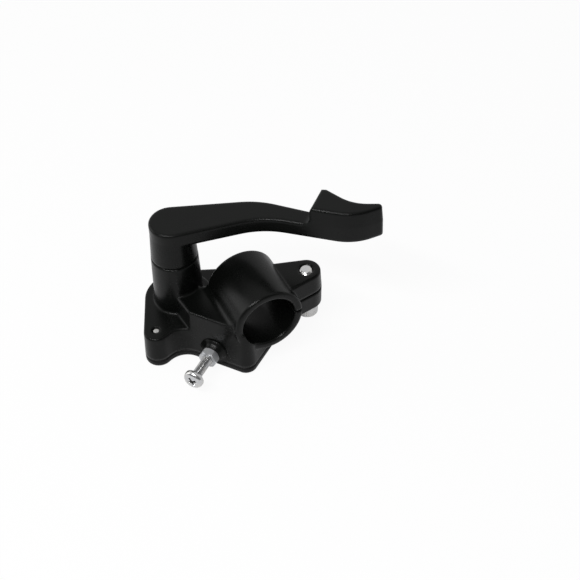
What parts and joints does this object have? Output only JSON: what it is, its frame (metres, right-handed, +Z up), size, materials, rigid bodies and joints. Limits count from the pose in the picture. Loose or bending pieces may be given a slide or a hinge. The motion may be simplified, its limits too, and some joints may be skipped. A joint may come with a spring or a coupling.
{
  "type": "thumb throttle lever",
  "caption": "Thumb throttle: a cast housing with a split handlebar clamp, a shaft tower and a sprung thumb lever that pulls a cable, with a limiter screw and a screwed bottom cover.",
  "frame": {"origin": "the lever's pivot axis where it meets the flat underside of the bottom cover", "axes": "+Z up along the lever's pivot shaft, +X along the lever towards the thumb pad at rest, +Y away from the rider's view of the clamp's open end"},
  "size_m": [0.0951, 0.0628, 0.064],
  "materials": {
    "black_casting": "satin black paint over cast aluminium",
    "black_lever": "satin black paint over cast aluminium",
    "black_cover": "satin black paint over cast aluminium",
    "zinc_steel": "bright zinc plate",
    "plain_steel": "machined",
    "spring_steel": "oiled wire",
    "bronze": "sintered",
    "white_plastic": "smooth",
    "black_rubber": "matt",
    "gasket_paper": "matt"
  },
  "bodies": {
    "unit": {"housing": "black_casting", "bottom_cover": "black_cover", "cover_gasket": "gasket_paper", "cover_screws": "zinc_steel", "upper_bush": "bronze", "lower_bush": "bronze", "hub_washer": "white_plastic", "return_spring": "spring_steel", "clamp_bolt": "zinc_steel", "clamp_washer": "zinc_steel", "limiter_lock_nut": "zinc_steel"},
    "thumb_lever": {"lever": "black_lever", "lever_shaft": "plain_steel", "shaft_ring": "black_rubber", "spring_sleeve": "white_plastic", "cable_arm": "zinc_steel", "arm_tab_washer": "zinc_steel", "shaft_nut": "zinc_steel"},
    "limiter": {"limiter_screw": "zinc_steel"}
  },
  "joints": [
    {"name": "lever_pivot", "type": "hinge", "parent": "unit", "child": "thumb_lever", "pos_m": [0, 0, 0], "axis": [0, 0, 1], "range_deg": [-40, 0], "stiffness_Nm_per_rad": 0.2, "springref_deg": 57.3, "deforming": ["return_spring"]},
    {"name": "limiter_travel", "type": "slide", "parent": "unit", "child": "limiter", "axis": [-0.4777, -0.8785, 0], "range_m": [0, 0.005]}
  ]
}
